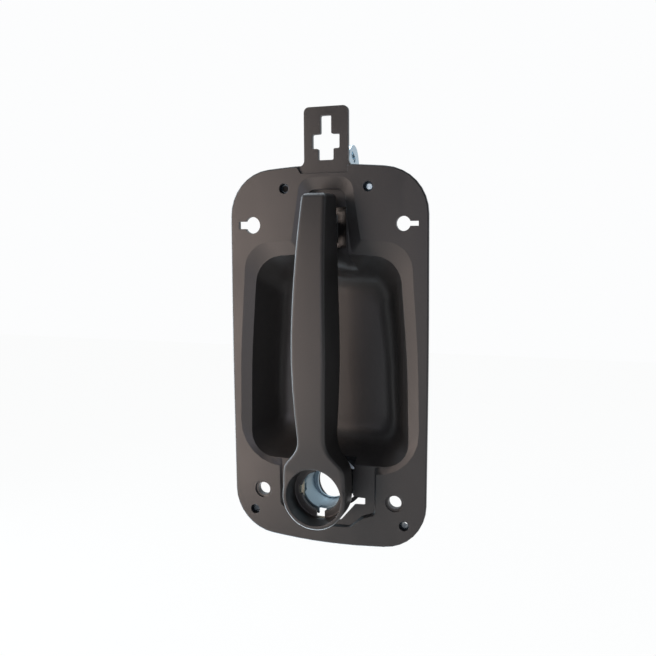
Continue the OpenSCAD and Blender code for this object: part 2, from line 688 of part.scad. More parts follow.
module pan_screw(x, z, seat_y, length) {
    rod_y(x, z, screw_r - run_fit, seat_y - length, seat_y + 0.5);
    difference() {
        rod_y(x, z, screw_r * 1.9, seat_y, seat_y + 2.6);
        rod_y(x, z, screw_r * 0.7, seat_y + 1.2, seat_y + 2.6 + over);
    }
}
module hinge_bracket_screws() {
    color(zinc) for (seat = bracket_seats)
        pan_screw(seat[0], seat[1], bracket_y + plate_t, plate_t + 8);
}
module hinge_pin(side) {
    color(zinc) mirror([side < 0 ? 1 : 0, 0, 0]) {
        rod_x(hinge_y, hinge_z, pin_r, bush_in + 0.4, ear_out);
        rod_x(hinge_y, hinge_z, pin_r + 1.8, ear_out, ear_out + 1.6);
    }
}
// Torsion spring round the right pin: one leg bears on the bracket, the other hooks the housing
module handle_return_spring() {
    wire_r = 0.8;
    coil_r = 4.6;
    turns = 2;
    steps = 12;
    x0 = cheek_x + bush_flange_t + wire_r + 0.25;
    x1 = ear_in - wire_r - 0.25;
    coil = [for (i = [0:turns * steps])
        let (t = i / steps, a = 60 - 360 * t)
        [x0 + (x1 - x0) * t / turns, hinge_y + coil_r * cos(a), hinge_z + coil_r * sin(a)]];
    color(zinc) wire(concat(
        [[9.1, 4.4, -74.6], [14.7, 4.8, -78.1], [20.3, hinge_y + 0.8, hinge_z + coil_r + 3]],
        coil,
        [[x1, hinge_y + coil_r * cos(30), hinge_z + coil_r * sin(30)], [x1, hinge_y + coil_r, hinge_z],
         [x1, bracket_y - wire_r - 0.3, hinge_z - 11]]), wire_r);
}

// Actuator arm, from the grip's top end through the channel to the lever
arm_t = 5;
arm_end_r = 5;
arm_top = drive_z + 7;
module actuator_arm() {
    color(zinc) difference() {
        union() {
            back_lid(foot_top, cover_top + 0.3, foot_t, cover_play, 4);
            plate_x(-arm_t / 2, arm_t / 2)
                polygon(rounded([[grip_rear(drive_z) - 1, drive_z - 6.5, 0.3, 1],
                                 [drive_y, drive_z - arm_end_r, 5, 3],
                                 [drive_y + arm_end_r, drive_z - arm_end_r, arm_end_r, 4],
                                 [drive_y + arm_end_r, drive_z + arm_end_r, arm_end_r, 4],
                                 [drive_y, drive_z + arm_end_r, 5, 3],
                                 [grip_rear(drive_z) - 1, arm_top, 0.3, 1]]));
        }
        rod_x(drive_y, drive_z, pin_r, -arm_t, arm_t);
        for (z = arm_screw_z) cover_screw_seat(z, foot_t);
    }
}
module actuator_arm_screws() {
    color(zinc) for (z = arm_screw_z) cover_screw(z, foot_t + 7);
}
cheek_gap = 0.7;
cheek_in = arm_t / 2 + cheek_gap;
slot_left = -cheek_in - lever_t - 1.4;
slot_right = arm_t / 2 + 1.1;
module actuator_pin() {
    color(zinc) rod_x(drive_y, drive_z, pin_r, -cheek_in - lever_t - 0.5, arm_t / 2 + 0.4);
}

// Release lever. In its own frame the drive pin runs outwards along a cam slot.
lever_ratio = -lever_turn / grip_swing;
lever_at = [lever_y, lever_z];
hinge_at = [hinge_y, hinge_z];
drive_at = [drive_y, drive_z];
function drive_path(t) = turned(hinge_at + turned(drive_at - hinge_at, t) - lever_at, -lever_ratio * t);
cam_steps = 8;
cam_play = 0.35;
cam_path = [for (i = [0:cam_steps]) drive_path(grip_swing * i / cam_steps)];
// An outline round two circles, a and b being their centres
function strap(a, ra, b, rb) =
    let (d = b - a,
         along = atan2(d[1], d[0]),
         open = acos((ra - rb) / norm(d)),
         n = 14)
    concat([for (i = [0:n]) b + rb * [cos(along - open + 2 * open * i / n), sin(along - open + 2 * open * i / n)]],
           [for (i = [0:n]) a + ra * [cos(along + open + (360 - 2 * open) * i / n),
                                      sin(along + open + (360 - 2 * open) * i / n)]]);
hub_r = 6.5;
lug_r = hub_r + 1.5;
hub_left = -9.2;
hub_right = 13.7;
arm_x = 9.6;
eye_at = [-10, 16.5];
lever_wall = 2.7;
// The arm with the cam slot, down from the hub; the slot is where the pin passes over the swing
module cam_arm_outline() {
    far = cam_path[cam_steps];
    wide = pin_r + cam_play + lever_wall;
    difference() {
        polygon(rounded([[-lug_r + 0.4, 6, 7, 5], [cam_path[4][0] - wide + 0.6, far[1] - wide, 7, 5],
                         [cam_path[0][0] + wide, far[1] - wide, 7, 5], [lug_r - 0.4, 6, 7, 5]]));
        for (p = cam_path) translate(p) circle(r = pin_r + cam_play, $fn = round_fn);
    }
}
eye_slot = 10;
eye_slot_r = 2.4;
eye_slot_turn = -31;
function eye_slot_end(side) = eye_at + [-1.2, 3] + side * (eye_slot / 2 - eye_slot_r) * turned([1, 0], eye_slot_turn);
lever_bush_r = pin_r + run_fit + 1.4;
module release_lever() {
    color(zinc) difference() {
        union() {
            translate([0, lever_y, lever_z]) {
                plate_x(-cheek_in - lever_t, -cheek_in) cam_arm_outline();
                plate_x(arm_x, arm_x + lever_t) difference() {
                    polygon(strap([0, 0], lug_r, eye_at, eye_r));
                    polygon(strap(eye_slot_end(-1), eye_slot_r, eye_slot_end(1), eye_slot_r));
                }
            }
            rod_x(lever_y, lever_z, hub_r, hub_left, hub_right);
        }
        rod_x(lever_y, lever_z, lever_bush_r, hub_left - over, hub_right + over);
    }
}
bush_len = 6;
module lever_bushes() {
    color(bronze) for (x = [hub_left, hub_right - bush_len]) difference() {
        rod_x(lever_y, lever_z, lever_bush_r - 0.02, x, x + bush_len);
        rod_x(lever_y, lever_z, pin_r + run_fit, x - over, x + bush_len + over);
    }
}
side_play = 0.35;
bracket_left = hub_left - side_play - plate_t;
bracket_right = hub_right + side_play;
base_y = boss_end + 0.8;
base_low = 110;
base_high = 130.5;
base_w = 77;
bridge_y = drive_y + arm_end_r + 6.5;
ear_back = bridge_y + plate_t;
module bracket_ear_outline() {
    polygon(rounded([
        [base_y + eps, base_high, 0.5, 1], [base_y + eps, 117, 0.5, 1], [24, 112.5, 8, 4],
        [bridge_y - 3, 110, 6, 4], [bridge_y - 2, drive_z - 6, 1, 2], [ear_back, drive_z - 6, 1, 2],
        [ear_back, 120, 8, 4], [lever_y + 3, 131.5, 8, 4]]));
}
module lever_bracket() {
    color(zinc) difference() {
        union() {
            plate_y(base_y, base_y + plate_t)
                polygon(rounded(both_sides([[base_w / 2, base_high, 4, 4], [base_w / 2, base_low, 4, 4]])));
            for (x = [bracket_left, bracket_right]) plate_x(x, x + plate_t) bracket_ear_outline();
            box([bracket_left, bridge_y, drive_z - 6], [bracket_right + plate_t, ear_back, drive_z + 7]);
        }
        for (x = [bracket_left, bracket_right])
            rod_x(lever_y, lever_z, pin_r, x - over, x + plate_t + over);
        for (side = [-1, 1])
            rod_y(side * upper_x, upper_z, screw_r + 0.3, base_y - over, base_y + plate_t + over);
        rod_y(0, drive_z, 2.2, bridge_y - over, ear_back + over);
    }
}
module lever_bracket_screws() {
    color(zinc) for (side = [-1, 1])
        pan_screw(side * upper_x, upper_z, base_y + plate_t, plate_t + insert_len + 0.6);
}
module stop_bumper() {
    color(rubber) {
        rod_y(0, drive_z, 2.9, drive_y + arm_end_r + 0.3, bridge_y);
        rod_y(0, drive_z, 2.2, bridge_y - eps, ear_back);
        rod_y(0, drive_z, 3.2, ear_back, ear_back + 1.4);
    }
}
clip_t = 0.8;
module lever_pivot_pin() {
    color(zinc) difference() {
        union() {
            rod_x(lever_y, lever_z, pin_r, bracket_left - 3.2, bracket_right + plate_t);
            rod_x(lever_y, lever_z, pin_r + 1.8, bracket_right + plate_t, bracket_right + plate_t + 1.6);
        }
        difference() {
            rod_x(lever_y, lever_z, pin_r + over, bracket_left - 0.1 - clip_t, bracket_left - 0.05);
            rod_x(lever_y, lever_z, pin_r - 0.7, bracket_left - 2, bracket_left + over);
        }
    }
}
module lever_pin_clip() {
    color(zinc) difference() {
        rod_x(lever_y, lever_z, pin_r + 2.4, bracket_left - 0.07 - clip_t, bracket_left - 0.07);
        rod_x(lever_y, lever_z, pin_r - 0.68, bracket_left - 2, bracket_left + over);
        box([bracket_left - 2, lever_y - 1.7, lever_z - 8], [bracket_left + over, lever_y + 1.7, lever_z]);
    }
}
// Torsion spring round the lever's hub: one leg bears on the bracket's base, one on the lever
module lever_return_spring() {
    wire_r = 0.8;
    coil_r = hub_r + wire_r + 0.5;
    steps = 46;
    x0 = arm_x - wire_r - 0.4;
    x1 = -cheek_in + wire_r + 0.4;
    base_back = base_y + plate_t + wire_r + 0.1;
    coil = [for (i = [0:steps])
        let (a = -110 + (290 + 1080) * i / steps)
        [x0 + (x1 - x0) * i / steps, lever_y + coil_r * cos(a), lever_z + coil_r * sin(a)]];
    color(zinc) wire(concat(
        [[x0, base_back, lever_z - 2], [x0, base_back, lever_z - coil_r + 1.6],
         [x0, base_back + 1.4, lever_z - coil_r + 0.2]],
        coil,
        [[x1, lever_y - coil_r, lever_z - 5], [x1, lever_y - coil_r - 1.3, lever_z - 10],
         [x1 - 0.6, lever_y - coil_r - 1.6, lever_z - 11.6], [x1 - 4.4, lever_y - coil_r - 1.6, lever_z - 12]]),
        wire_r);
}

bezel();
threaded_inserts();
grip_shell();
grip_back_cover();
grip_cover_screws();
lock_housing();
lock_housing_screws();
lock_retaining_clip();
hinge_bushes();
hinge_bracket();
hinge_bracket_screws();
hinge_pin(-1);  // hinge_pin_left
hinge_pin(1);  // hinge_pin_right
handle_return_spring();
actuator_arm();
actuator_arm_screws();
actuator_pin();
lever_bracket();
lever_bracket_screws();
stop_bumper();
release_lever();
lever_bushes();
lever_pivot_pin();
lever_pin_clip();
lever_return_spring();
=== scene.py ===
"""Looks of an exterior door handle: moulded bezel, bow grip, lock ring, zinc-plated works.

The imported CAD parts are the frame. Each is shown by a merged copy with soft normals and its own
procedural finish, in metres and in the frame's own place.
"""
import json
import math

import bmesh
import bpy
from mathutils import Matrix, Vector


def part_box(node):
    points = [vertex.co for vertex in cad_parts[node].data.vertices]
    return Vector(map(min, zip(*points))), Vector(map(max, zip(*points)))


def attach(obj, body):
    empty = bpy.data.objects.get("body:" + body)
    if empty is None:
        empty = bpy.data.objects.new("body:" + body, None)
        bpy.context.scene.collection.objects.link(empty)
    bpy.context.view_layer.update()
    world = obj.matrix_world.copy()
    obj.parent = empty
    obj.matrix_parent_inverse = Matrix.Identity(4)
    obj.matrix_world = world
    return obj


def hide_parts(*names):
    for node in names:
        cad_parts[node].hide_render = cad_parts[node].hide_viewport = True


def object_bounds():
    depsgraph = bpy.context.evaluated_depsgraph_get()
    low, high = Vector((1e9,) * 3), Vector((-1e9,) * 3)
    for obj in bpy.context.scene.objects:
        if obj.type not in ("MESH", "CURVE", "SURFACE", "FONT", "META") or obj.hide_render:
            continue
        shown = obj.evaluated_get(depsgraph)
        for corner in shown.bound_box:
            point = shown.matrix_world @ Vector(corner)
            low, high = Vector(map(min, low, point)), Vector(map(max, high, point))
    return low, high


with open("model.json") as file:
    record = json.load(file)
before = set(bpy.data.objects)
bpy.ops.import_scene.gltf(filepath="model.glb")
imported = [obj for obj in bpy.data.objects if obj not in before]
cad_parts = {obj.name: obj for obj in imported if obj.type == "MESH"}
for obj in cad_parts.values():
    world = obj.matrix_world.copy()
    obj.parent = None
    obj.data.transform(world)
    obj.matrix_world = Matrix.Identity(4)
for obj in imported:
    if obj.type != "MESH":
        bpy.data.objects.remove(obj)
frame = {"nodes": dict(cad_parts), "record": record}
cad_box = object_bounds()
nodes = frame["nodes"]
body_of = {name: body for body, names in frame["record"]["behaviour"]["bodies"].items() for name in names}
scene = bpy.context.scene

# The lock ring's axis, the height the lamps aim at and the floor's depth below the part
lock_axis_z = -0.0913
lamp_aim_z = 0.02
floor_drop = 0.32


# Node helpers
def new_group(name, inputs, outputs):
    """A shader node group with named sockets: inputs are (name, kind, value), outputs (name, kind)."""
    group = bpy.data.node_groups.new(name, "ShaderNodeTree")
    for label, kind, value in inputs:
        socket = group.interface.new_socket(label, in_out="INPUT", socket_type=kind)
        socket.default_value = value
    for label, kind in outputs:
        group.interface.new_socket(label, in_out="OUTPUT", socket_type=kind)
    tree = Tree(group)
    return group, tree, tree.add("NodeGroupInput").outputs, tree.add("NodeGroupOutput").inputs


class Tree:
    """Adds nodes to a tree and links their sockets by name."""

    def __init__(self, tree):
        self.tree = tree

    def add(self, kind, links=None, **settings):
        node = self.tree.nodes.new(kind)
        for key, value in settings.items():
            setattr(node, key, value)
        for socket, source in (links or {}).items():
            target = node.inputs[socket]
            if isinstance(source, bpy.types.NodeSocket):
                self.tree.links.new(source, target)
            else:
                target.default_value = source
        return node

    def math(self, operation, first, second=0.0, clamp=False):
        node = self.add("ShaderNodeMath", {0: first, 1: second}, operation=operation, use_clamp=clamp)
        return node.outputs[0]

    def spread(self, value, low, high, to_low=0.0, to_high=1.0):
        return self.add("ShaderNodeMapRange", {"Value": value, "From Min": low, "From Max": high,
                                               "To Min": to_low, "To Max": to_high}).outputs["Result"]

    def blend(self, share, first, second):
        node = self.add("ShaderNodeMix", data_type="RGBA")
        for index, source in ((0, share), (6, first), (7, second)):
            if isinstance(source, bpy.types.NodeSocket):
                self.tree.links.new(source, node.inputs[index])
            else:
                node.inputs[index].default_value = source
        return node.outputs[2]


def edge_group():
    """Soft edges: a normal rounded over an edge, and a mask that is 1 along edges and 0 on faces."""
    group, tree, given, out = new_group(
        "soft_edges",
        [("Radius", "NodeSocketFloat", 0.0004), ("Position", "NodeSocketVector", (0, 0, 0))],
        [("Normal", "NodeSocketVector"), ("Edge", "NodeSocketFloat")])
    round_over = tree.add("ShaderNodeBevel", {"Radius": given["Radius"]}, samples=6)
    flat = tree.add("ShaderNodeNewGeometry").outputs["Normal"]
    closeness = tree.add("ShaderNodeVectorMath", {0: round_over.outputs[0], 1: flat},
                         operation="DOT_PRODUCT").outputs["Value"]
    edge_wear_and_highlight = tree.add("ShaderNodeTexNoise", {"Vector": given["Position"], "Scale": 90.0, "Detail": 3.0})
    edge = tree.spread(closeness, 0.995, 0.86)
    uneven = tree.spread(edge_wear_and_highlight.outputs["Fac"], 0.3, 0.7, 0.45, 1.0)
    tree.tree.links.new(round_over.outputs[0], out["Normal"])
    tree.tree.links.new(tree.math("MULTIPLY", edge, uneven, True), out["Edge"])
    return group


def grain_group():
    """Spark-eroded mould grain: fine cells and soft flow marks, as a height and two tones."""
    group, tree, given, out = new_group(
        "mould_grain",
        [("Position", "NodeSocketVector", (0, 0, 0)), ("Cell size", "NodeSocketFloat", 0.0005)],
        [("Height", "NodeSocketFloat"), ("Speckle", "NodeSocketFloat"), ("Flow", "NodeSocketFloat")])
    count = tree.math("DIVIDE", 1.0, given["Cell size"])
    cells = tree.add("ShaderNodeTexNoise", {"Vector": given["Position"], "Scale": count,
                                            "Detail": 2.0, "Roughness": 0.6})
    pit_count = tree.math("MULTIPLY", count, 0.7)
    pits = tree.add("ShaderNodeTexVoronoi", {"Vector": given["Position"], "Scale": pit_count})
    height = tree.math("ADD", tree.math("MULTIPLY", cells.outputs["Fac"], 0.7),
                       tree.math("MULTIPLY", pits.outputs["Distance"], 0.3))
    stretched = tree.add("ShaderNodeMapping", {"Vector": given["Position"], "Scale": (1.0, 1.0, 0.35)})
    flow = tree.add("ShaderNodeTexNoise", {"Vector": stretched.outputs[0], "Scale": 26.0,
                                           "Detail": 4.0, "Distortion": 0.8})
    tree.tree.links.new(height, out["Height"])
    tree.tree.links.new(tree.spread(cells.outputs["Fac"], 0.35, 0.68), out["Speckle"])
    tree.tree.links.new(tree.spread(flow.outputs["Fac"], 0.34, 0.66), out["Flow"])
    return group


def dust_group():
    """A little dust that lies in patches on what faces up, as a mask."""
    group, tree, given, out = new_group(
        "settled_dust",
        [("Position", "NodeSocketVector", (0, 0, 0)), ("Amount", "NodeSocketFloat", 0.3)],
        [("Dust", "NodeSocketFloat")])
    normal = tree.add("ShaderNodeNewGeometry").outputs["Normal"]
    up = tree.add("ShaderNodeSeparateXYZ", {"Vector": normal}).outputs["Z"]
    facing = tree.spread(up, 0.25, 1.0)
    patches = tree.add("ShaderNodeTexNoise", {"Vector": given["Position"], "Scale": 70.0, "Detail": 6.0,
                                              "Roughness": 0.7})
    mask = tree.math("MULTIPLY", facing, tree.spread(patches.outputs["Fac"], 0.4, 0.75))
    tree.tree.links.new(tree.math("MULTIPLY", mask, given["Amount"], True), out["Dust"])
    return group


def plating_group():
    """Zinc plating: soft crystal patches and fine pitting, as a height and two tones."""
    group, tree, given, out = new_group(
        "zinc_plating",
        [("Position", "NodeSocketVector", (0, 0, 0)), ("Patch size", "NodeSocketFloat", 0.004)],
        [("Height", "NodeSocketFloat"), ("Patch", "NodeSocketFloat"), ("Pitting", "NodeSocketFloat")])
    count = tree.math("DIVIDE", 1.0, given["Patch size"])
    place = given["Position"]
    warp_count = tree.math("MULTIPLY", count, 0.6)
    warped = tree.add("ShaderNodeTexNoise", {"Vector": place, "Scale": warp_count, "Detail": 3.0})
    shifted = tree.add("ShaderNodeVectorMath", {0: place, 1: warped.outputs["Color"], 2: (0.0015,) * 3},
                       operation="MULTIPLY_ADD")
    patches = tree.add("ShaderNodeTexVoronoi", {"Vector": shifted.outputs[0], "Scale": count})
    tone = tree.add("ShaderNodeSeparateColor", {"Color": patches.outputs["Color"]}).outputs[0]
    pit_count = tree.math("MULTIPLY", count, 9.0)
    pits = tree.add("ShaderNodeTexNoise", {"Vector": place, "Scale": pit_count, "Detail": 3.0,
                                           "Roughness": 0.65})
    tree.tree.links.new(pits.outputs["Fac"], out["Height"])
    tree.tree.links.new(tone, out["Patch"])
    tree.tree.links.new(tree.spread(pits.outputs["Fac"], 0.35, 0.7), out["Pitting"])
    return group


soft_edges = edge_group()
mould_grain = grain_group()
settled_dust = dust_group()
zinc_plating = plating_group()


def rgb(red, green, blue):
    return (red, green, blue, 1.0)


def shade(colour, share):
    """A colour at a share of its brightness."""
    return tuple(share * channel for channel in colour[:3]) + (1,)


def start_material(name):
    material = bpy.data.materials.new(name)
    material.use_nodes = True
    material.node_tree.nodes.clear()
    tree = Tree(material.node_tree)
    place = tree.add("ShaderNodeTexCoord").outputs["Object"]
    shader = tree.add("ShaderNodeBsdfPrincipled")
    out = tree.add("ShaderNodeOutputMaterial", {"Surface": shader.outputs[0]})
    out.is_active_output = True
    return material, tree, place, shader


def use_group(tree, group, links):
    node = tree.add("ShaderNodeGroup", node_tree=group)
    for socket, source in links.items():
        target = node.inputs[socket]
        if isinstance(source, bpy.types.NodeSocket):
            tree.tree.links.new(source, target)
        else:
            target.default_value = source
    return node.outputs


def moulded_plastic(name, dark, light, edge_wear_and_highlight, rough, cell, depth, radius, dust, shine=0.5):
    """Injection-moulded plastic: grain, flow marks, edges lightened as wear and as painted highlight, and
    a trace of dust.
    """
    material, tree, place, shader = start_material(name)
    edges = use_group(tree, soft_edges, {"Radius": radius, "Position": place})
    grain = use_group(tree, mould_grain, {"Position": place, "Cell size": cell})
    settled = use_group(tree, settled_dust, {"Position": place, "Amount": dust})
    colour = tree.blend(grain["Flow"], dark, light)
    speckled = tree.blend(tree.math("MULTIPLY", grain["Speckle"], 0.35), colour, shade(dark, 0.55))
    # Painted highlight and wear: edges, creases included, are lightened towards the edge colour.
    wear_and_painted_light = tree.blend(tree.math("MULTIPLY", edges["Edge"], 0.6), speckled, edge_wear_and_highlight)
    dusty = tree.blend(settled["Dust"], wear_and_painted_light, rgb(0.16, 0.15, 0.14))
    roughness = tree.math("ADD", tree.spread(grain["Flow"], 0, 1, rough - 0.05, rough + 0.05),
                          tree.math("MULTIPLY", grain["Speckle"], 0.06))
    roughness = tree.math("SUBTRACT", roughness, tree.math("MULTIPLY", edges["Edge"], 0.1))
    roughness = tree.math("ADD", roughness, tree.math("MULTIPLY", settled["Dust"], 0.5), True)
    bump = tree.add("ShaderNodeBump", {"Strength": 0.5, "Distance": depth, "Height": grain["Height"],
                                       "Normal": edges["Normal"]})
    tree.tree.links.new(dusty, shader.inputs["Base Color"])
    tree.tree.links.new(roughness, shader.inputs["Roughness"])
    tree.tree.links.new(bump.outputs[0], shader.inputs["Normal"])
    shader.inputs["Specular IOR Level"].default_value = shine
    return material


def lever_painted_shade(tree, place):
    """Painted shade on the release lever: near-black from its cam slot up to the foot of its eye, where
    the lever lies in shade.
    """
    height = tree.add("ShaderNodeSeparateXYZ", {"Vector": place}).outputs["Z"]
    uneven_border = tree.add("ShaderNodeTexNoise", {"Vector": place, "Scale": 240.0, "Detail": 4.0}).outputs["Fac"]
    return tree.spread(tree.math("ADD", height, tree.math("MULTIPLY", uneven_border, 0.008)), 0.118, 0.107)


def rim_painted_shade(tree, place):
    """Painted shade on the lock housing's outer rim, which lies in the ring's shade: near-black beyond a
    radius from the lock axis.
    """
    across = tree.add("ShaderNodeVectorMath", {0: place, 1: (1, 0, 1)}, operation="MULTIPLY").outputs[0]
    radius = tree.add("ShaderNodeVectorMath", {0: across, 1: (0, 0, lock_axis_z)},
                      operation="DISTANCE").outputs["Value"]
    return tree.spread(radius, 0.0165, 0.0174)


def left_screw_painted_shade(tree, place):
    """Painted shade on the left one of two screws that share one finish; the right one stays bare zinc."""
    aside = tree.add("ShaderNodeSeparateXYZ", {"Vector": place}).outputs["X"]
    return tree.spread(aside, 0.01, -0.01)


def plated_metal(name, first, second, worn_colour, rough, patch, radius, depth=0.00002, shade_mask=None):
    """Plated or cast metal: crystal patches, pitting and bright edges.

    Where a mask function is given, the part it marks is painted near-black and not metallic, as painted
    shade.
    """
    material, tree, place, shader = start_material(name)
    edges = use_group(tree, soft_edges, {"Radius": radius, "Position": place})
    plating = use_group(tree, zinc_plating, {"Position": place, "Patch size": patch})
    colour = tree.blend(plating["Patch"], first, second)
    pitted = tree.blend(tree.math("MULTIPLY", plating["Pitting"], 0.3), colour, shade(first, 0.6))
    wear_and_painted_light = tree.blend(tree.math("MULTIPLY", edges["Edge"], 0.5), pitted, worn_colour)
    roughness = tree.math("ADD", tree.spread(plating["Patch"], 0, 1, rough - 0.06, rough + 0.06),
                          tree.math("MULTIPLY", plating["Pitting"], 0.08), True)
    bump = tree.add("ShaderNodeBump", {"Strength": 0.4, "Distance": depth, "Height": plating["Height"],
                                       "Normal": edges["Normal"]})
    shader.inputs["Metallic"].default_value = 1.0
    # Painted shade: where a mask is given, the masked part is near-black, rough and not metallic.
    if shade_mask:
        shade_share = shade_mask(tree, place)
        bare = tree.math("SUBTRACT", 1.0, shade_share)
        wear_and_painted_light = tree.blend(shade_share, wear_and_painted_light, rgb(0.005, 0.005, 0.005))
        metal_share = tree.math("MULTIPLY", roughness, bare)
        roughness = tree.math("ADD", metal_share, tree.math("MULTIPLY", shade_share, 0.6))
        tree.tree.links.new(bare, shader.inputs["Metallic"])
        shader.inputs["Specular IOR Level"].default_value = 0.12
    tree.tree.links.new(wear_and_painted_light, shader.inputs["Base Color"])
    tree.tree.links.new(roughness, shader.inputs["Roughness"])
    tree.tree.links.new(bump.outputs[0], shader.inputs["Normal"])
    return material


def knurled_insert(name):
    """Turned brass, nickel-plated and knurled along its outside, with its colour kept near-black as
    painted shade of the holes it sits in.
    """
    material, tree, place, shader = start_material(name)
    edges = use_group(tree, soft_edges, {"Radius": 0.0002, "Position": place})
    teeth = tree.add("ShaderNodeTexWave", {"Vector": place, "Scale": 420.0, "Distortion": 0.0},
                     wave_type="BANDS", bands_direction="DIAGONAL")
    tarnish = tree.add("ShaderNodeTexNoise", {"Vector": place, "Scale": 220.0, "Detail": 4.0})
    tarnish_share = tree.spread(tarnish.outputs["Fac"], 0.35, 0.7)
    # Painted shade: both tones are near-black; the noise only varies them.
    colour = tree.blend(tarnish_share, rgb(0.035, 0.045, 0.055), rgb(0.020, 0.026, 0.032))
    bump = tree.add("ShaderNodeBump", {"Strength": 0.5, "Distance": 0.0001, "Height": teeth.outputs["Fac"],
                                       "Normal": edges["Normal"]})
    shader.inputs["Metallic"].default_value = 1.0
    tree.tree.links.new(colour, shader.inputs["Base Color"])
    roughness = tree.spread(tarnish.outputs["Fac"], 0.3, 0.7, 0.16, 0.26)
    tree.tree.links.new(roughness, shader.inputs["Roughness"])
    tree.tree.links.new(bump.outputs[0], shader.inputs["Normal"])
    return material


bezel_black = moulded_plastic(
    "bezel_black_plastic", rgb(0.0135, 0.0123, 0.0120), rgb(0.0185, 0.0168, 0.0160),
    rgb(0.035, 0.034, 0.034), 0.37, 0.00075, 0.00009, 0.0005, 0.12)
grip_black = moulded_plastic(
    "grip_black_plastic", rgb(0.0180, 0.0163, 0.0155), rgb(0.0225, 0.0205, 0.0190),
    rgb(0.035, 0.036, 0.037), 0.40, 0.00050, 0.00004, 0.0012, 0.06)
steel_zinc = plated_metal(
    "zinc_plated_steel", rgb(0.34, 0.43, 0.49), rgb(0.42, 0.52, 0.58), rgb(0.74, 0.80, 0.84),
    0.26, 0.003, 0.0003)
# Painted shade: the release lever's lower part is near-black.
shaded_lever_zinc = plated_metal(
    "zinc_plated_steel_with_painted_shade", rgb(0.34, 0.43, 0.49), rgb(0.42, 0.52, 0.58), rgb(0.74, 0.80, 0.84),
    0.26, 0.003, 0.0003, shade_mask=lever_painted_shade)
spring_zinc = plated_metal(
    "zinc_plated_spring_wire", rgb(0.62, 0.68, 0.74), rgb(0.72, 0.77, 0.82), rgb(0.88, 0.9, 0.92),
    0.22, 0.0012, 0.0001)
# Painted reflection: the spring's wire end is a lighter, bluer copy of the spring zinc.
wire_painted_sheen = plated_metal(
    "zinc_wire_painted_sheen", rgb(0.80, 0.88, 0.95), rgb(0.86, 0.93, 0.99), rgb(0.9, 0.95, 1.0),
    0.50, 0.0012, 0.0001)
# Painted shade: the left bracket screw is near-black, the right one bare zinc.
screw_end = plated_metal(
    "bracket_screw_zinc", rgb(0.44, 0.54, 0.61), rgb(0.54, 0.64, 0.71), rgb(0.80, 0.86, 0.90),
    0.30, 0.003, 0.0003, shade_mask=left_screw_painted_shade)
# Painted shade: the die-cast housing's outer rim is near-black.
die_cast = plated_metal(
    "die_cast_zinc", rgb(0.205, 0.280, 0.325), rgb(0.250, 0.335, 0.385), rgb(0.45, 0.56, 0.62),
    0.40, 0.0022, 0.0004, 0.00005, rim_painted_shade)
bush_bronze = plated_metal(
    "sintered_bronze", rgb(0.40, 0.25, 0.13), rgb(0.52, 0.34, 0.18), rgb(0.7, 0.5, 0.3),
    0.42, 0.0008, 0.0002, 0.00005)
insert_brass = knurled_insert("nickel_plated_knurled_brass")
# Painted shade: the actuator arm and pin are near-black, darker than the black steel, where they lie in
# the recess's shade.
phosphated_steel_shaded = moulded_plastic(
    "phosphated_steel_painted_shade", rgb(0.0050, 0.0050, 0.0054), rgb(0.0070, 0.0070, 0.0075),
    rgb(0.012, 0.012, 0.013), 0.68, 0.0009, 0.00001, 0.0003, 0.05, 0.08)
black_steel = moulded_plastic(
    "black_electrocoated_steel", rgb(0.014, 0.014, 0.015), rgb(0.019, 0.019, 0.020),
    rgb(0.03, 0.032, 0.035), 0.60, 0.0009, 0.00001, 0.0003, 0.1, 0.2)
clip_cream = moulded_plastic(
    "clip_cream_nylon", rgb(0.70, 0.62, 0.42), rgb(0.78, 0.70, 0.50),
    rgb(0.85, 0.78, 0.6), 0.42, 0.0006, 0.00002, 0.0002, 0.1)
bumper_rubber = moulded_plastic(
    "bumper_black_rubber", rgb(0.014, 0.014, 0.015), rgb(0.022, 0.022, 0.023),
    rgb(0.04, 0.04, 0.04), 0.75, 0.0003, 0.00003, 0.0004, 0.35)

finish_of_slot = {
    "bezel_plastic": bezel_black,
    "grip_plastic": grip_black,
    "zinc_steel": steel_zinc,
    "cast_zinc": die_cast,
    "clip_nylon": clip_cream,
    "bush_bronze": bush_bronze,
    "insert_brass": insert_brass,
    "bumper_rubber": bumper_rubber,
    "black_steel": black_steel,
}
slot_of = {row["node"]: row["material_slot"] for row in frame["record"]["subparts"]}
finish_of = {name: finish_of_slot[slot] for name, slot in slot_of.items()}
finish_of["handle_return_spring"] = spring_zinc
finish_of["lever_return_spring"] = spring_zinc
finish_of["release_lever"] = shaded_lever_zinc
finish_of["actuator_arm"] = phosphated_steel_shaded
finish_of["actuator_pin"] = phosphated_steel_shaded
finish_of["lever_bracket_screws"] = screw_end


# Merged copies of the CAD parts, with soft normals
flange_face_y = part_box("bezel")[0].y
crisp_planes = {"bezel": tuple(flange_face_y + step for step in (0.0, 0.0017, 0.0019, 0.002))}
smooth_below = 34.0


def mark_plane_edges(mesh, planes):
    """Keeps the edge of each flat face at these depths crisp, however shallow the slope beside it is."""
    sharp = mesh.attributes.get("sharp_edge") or mesh.attributes.new("sharp_edge", "BOOLEAN", "EDGE")
    sides = {}
    for face in mesh.polygons:
        for key in face.edge_keys:
            sides.setdefault(key, []).append(face.normal)
    for edge in mesh.edges:
        ends = [mesh.vertices[v].co.y for v in edge.vertices]
        level = any(all(abs(y - depth) < 2e-5 for y in ends) for depth in planes)
        normals = sides.get(edge.key, [])
        if level and len(normals) == 2 and normals[0].dot(normals[1]) < 0.9986:
            sharp.data[edge.index].value = True


